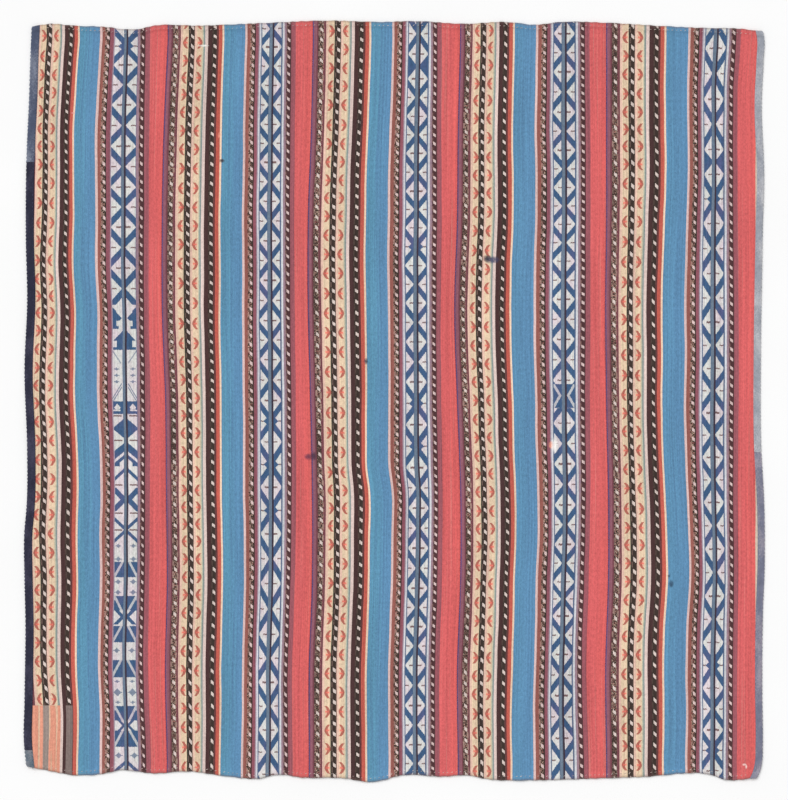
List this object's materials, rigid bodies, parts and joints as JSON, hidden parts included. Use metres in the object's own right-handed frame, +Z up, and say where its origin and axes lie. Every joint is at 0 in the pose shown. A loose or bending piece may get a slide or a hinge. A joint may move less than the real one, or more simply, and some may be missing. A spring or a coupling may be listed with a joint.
{
  "type": "kilim rug",
  "caption": "Flat, nearly square warp-striped wool rug of long strips sewn side by side, with cloth bindings folded round both outer sides.",
  "frame": {"origin": "centre of the rug's bounding box at its underside, on the floor", "axes": "+Z up out of the rug's face, +Y along the stripes, +X across them"},
  "size_m": [1.6315, 1.6738, 0.006],
  "materials": {
    "woven_strip_1": "warp-faced wool, striped in blue, red, cream, plum and black, matt",
    "woven_strip_2": "warp-faced wool, striped in blue, red, cream, plum and black, matt",
    "woven_strip_3": "warp-faced wool, striped in blue, red, cream, plum and black, matt",
    "woven_strip_4": "warp-faced wool, striped in blue, red, cream, plum and black, matt",
    "woven_strip_5": "warp-faced wool, striped in blue, red, cream, plum and black, matt",
    "binding_grey_blue": "plain-woven cotton tape, faded grey-blue, matt",
    "binding_navy": "plain-woven cotton tape, navy, matt",
    "binding_teal": "plain-woven cotton tape, teal-grey, matt",
    "binding_pale_grey": "plain-woven cotton tape, faded pale grey, matt",
    "binding_slate_blue": "plain-woven cotton tape, slate blue, matt"
  },
  "bodies": {
    "root": {"strip_1": "woven_strip_1", "strip_2": "woven_strip_2", "strip_3": "woven_strip_3", "strip_4": "woven_strip_4", "strip_5": "woven_strip_5", "binding_left_top": "binding_grey_blue", "binding_left_middle": "binding_navy", "binding_left_bottom": "binding_teal", "binding_right_top": "binding_pale_grey", "binding_right_bottom": "binding_slate_blue"}
  },
  "joints": []
}
